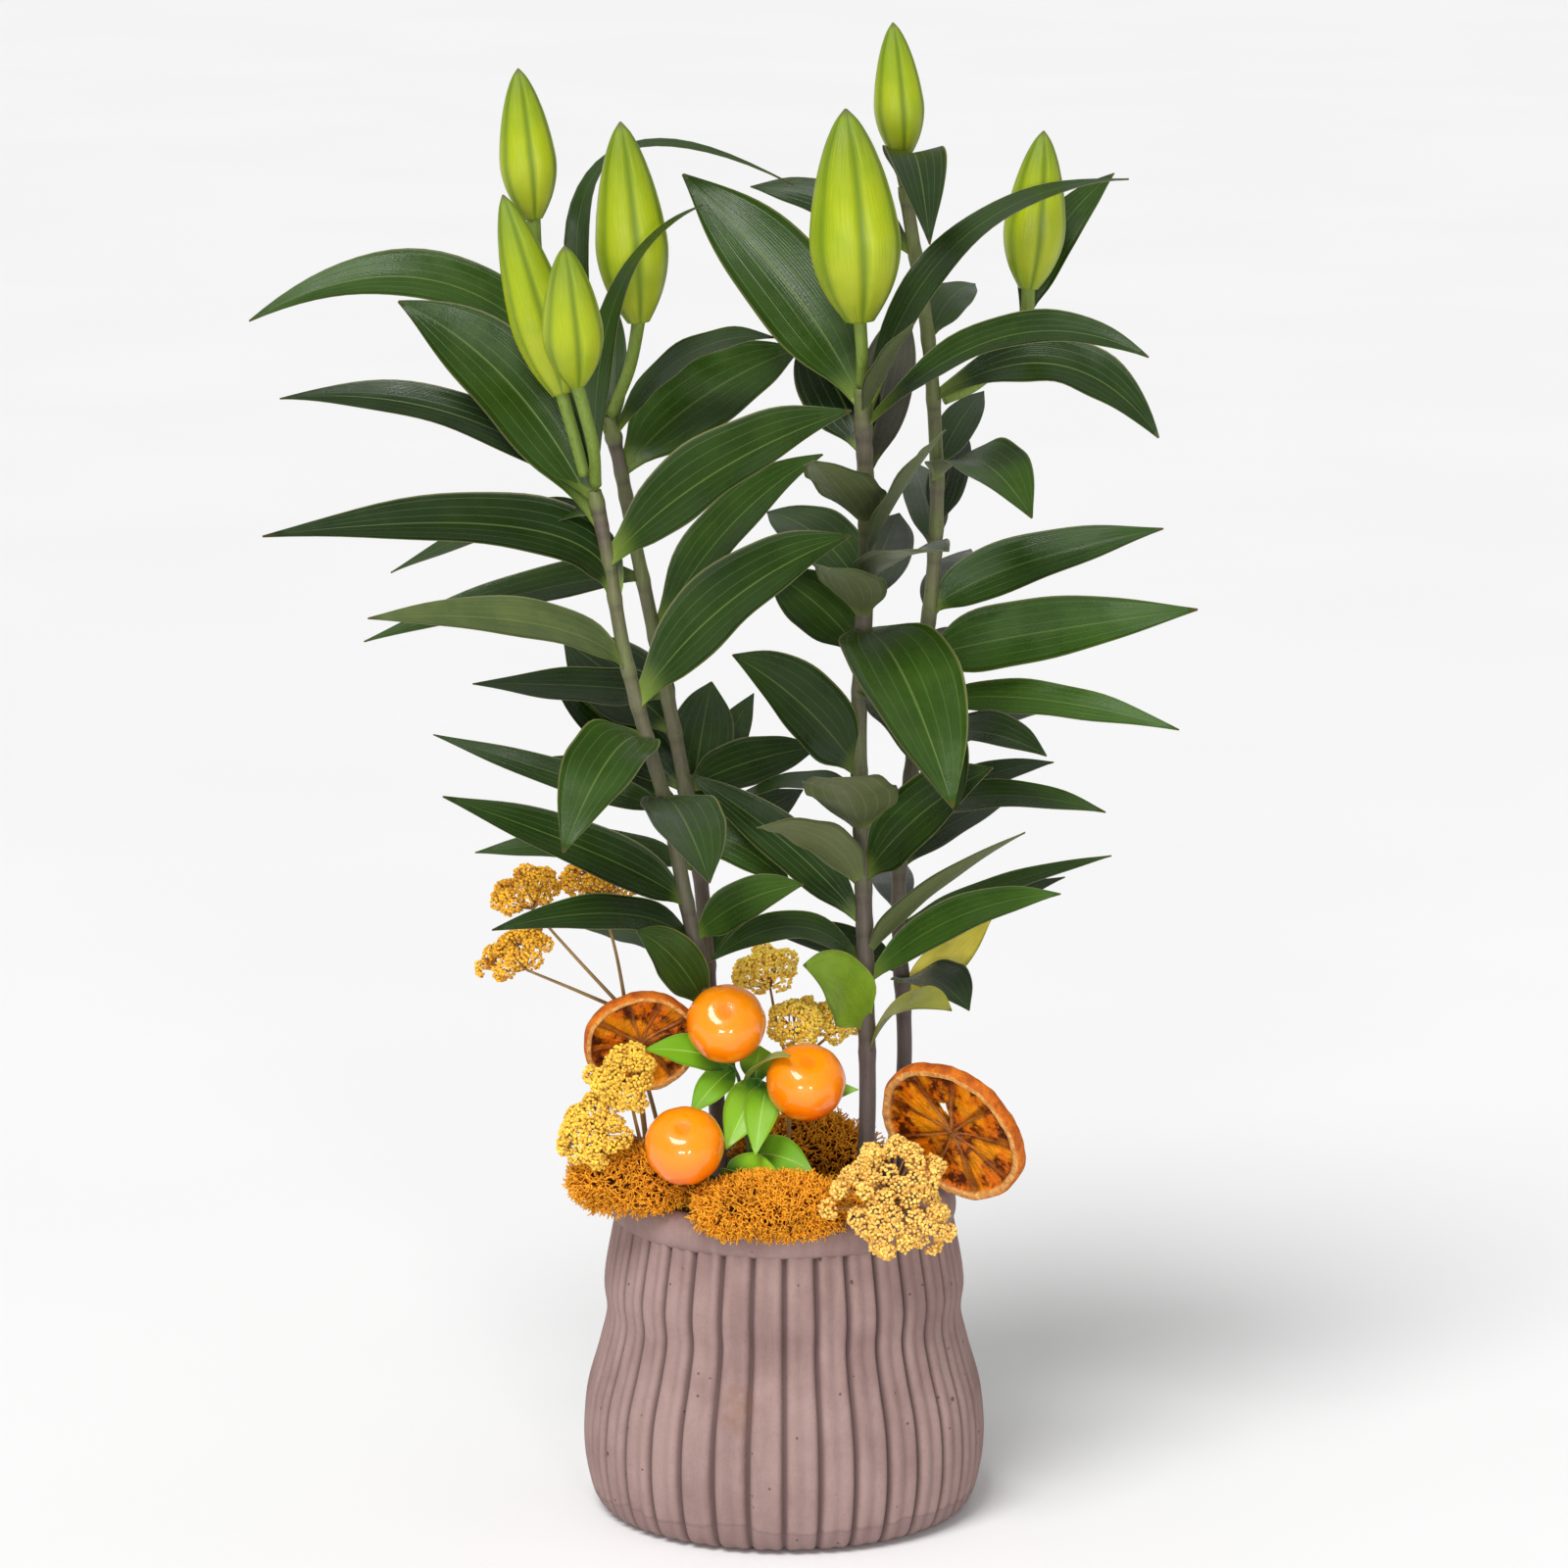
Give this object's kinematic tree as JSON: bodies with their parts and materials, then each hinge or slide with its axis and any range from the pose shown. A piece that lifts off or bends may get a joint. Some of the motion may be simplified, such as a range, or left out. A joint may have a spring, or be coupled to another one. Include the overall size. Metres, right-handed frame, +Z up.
{
  "type": "potted lily",
  "caption": "Potted lily in closed bud: leafy stems in a fluted matt concrete pot, the soil dressed with dyed moss, dried orange slices, yarrow and small glossy mandarins.",
  "frame": {"origin": "middle of the pot's flat foot, where it rests", "axes": "+Z up along the pot's axis and the stems, +X to the right and +Y away from the front"},
  "size_m": [0.3946, 0.2505, 0.6271],
  "materials": {
    "concrete": "matt mauve-grey concrete",
    "soil": "crumbly dark potting soil",
    "plant": "living green stems and satin leaves",
    "bud": "satin yellow-green buds",
    "mandarin": "glossy dimpled orange skin",
    "sprig": "satin lime-green leaves on wires",
    "orange_slice": "dried translucent amber flesh and pale rind",
    "pick": "raw wood",
    "yarrow": "dry mustard florets",
    "yarrow_pale": "dry cream-yellow florets",
    "twig": "dry tan stalks",
    "moss": "dyed orange lacy moss"
  },
  "bodies": {
    "root": {"pot": "concrete", "soil": "soil", "stem_a": "plant", "stem_b": "plant", "stem_c": "plant", "stem_d": "plant", "bud_a_left": "bud", "bud_a_right": "bud", "bud_b_left": "bud", "bud_b_right": "bud", "bud_c": "bud", "bud_d_top": "bud", "bud_d_right": "bud", "mandarin_top": "mandarin", "mandarin_right": "mandarin", "mandarin_low": "mandarin", "sprig": "sprig", "orange_slice_left": "orange_slice", "pick_left": "pick", "orange_slice_right": "orange_slice", "pick_right": "pick", "yarrow_left_stem": "twig", "yarrow_left_head_1": "yarrow", "yarrow_left_head_2": "yarrow", "yarrow_left_head_3": "yarrow", "yarrow_front_stem": "twig", "yarrow_front_head_1": "yarrow", "yarrow_front_head_2": "yarrow", "yarrow_middle_stem": "twig", "yarrow_middle_head_1": "yarrow", "yarrow_middle_head_2": "yarrow", "yarrow_middle_head_3": "yarrow", "yarrow_rim_stem": "twig", "yarrow_rim_head_1": "yarrow_pale", "moss_left": "moss", "moss_front": "moss", "moss_right": "moss", "moss_back": "moss"}
  },
  "joints": []
}
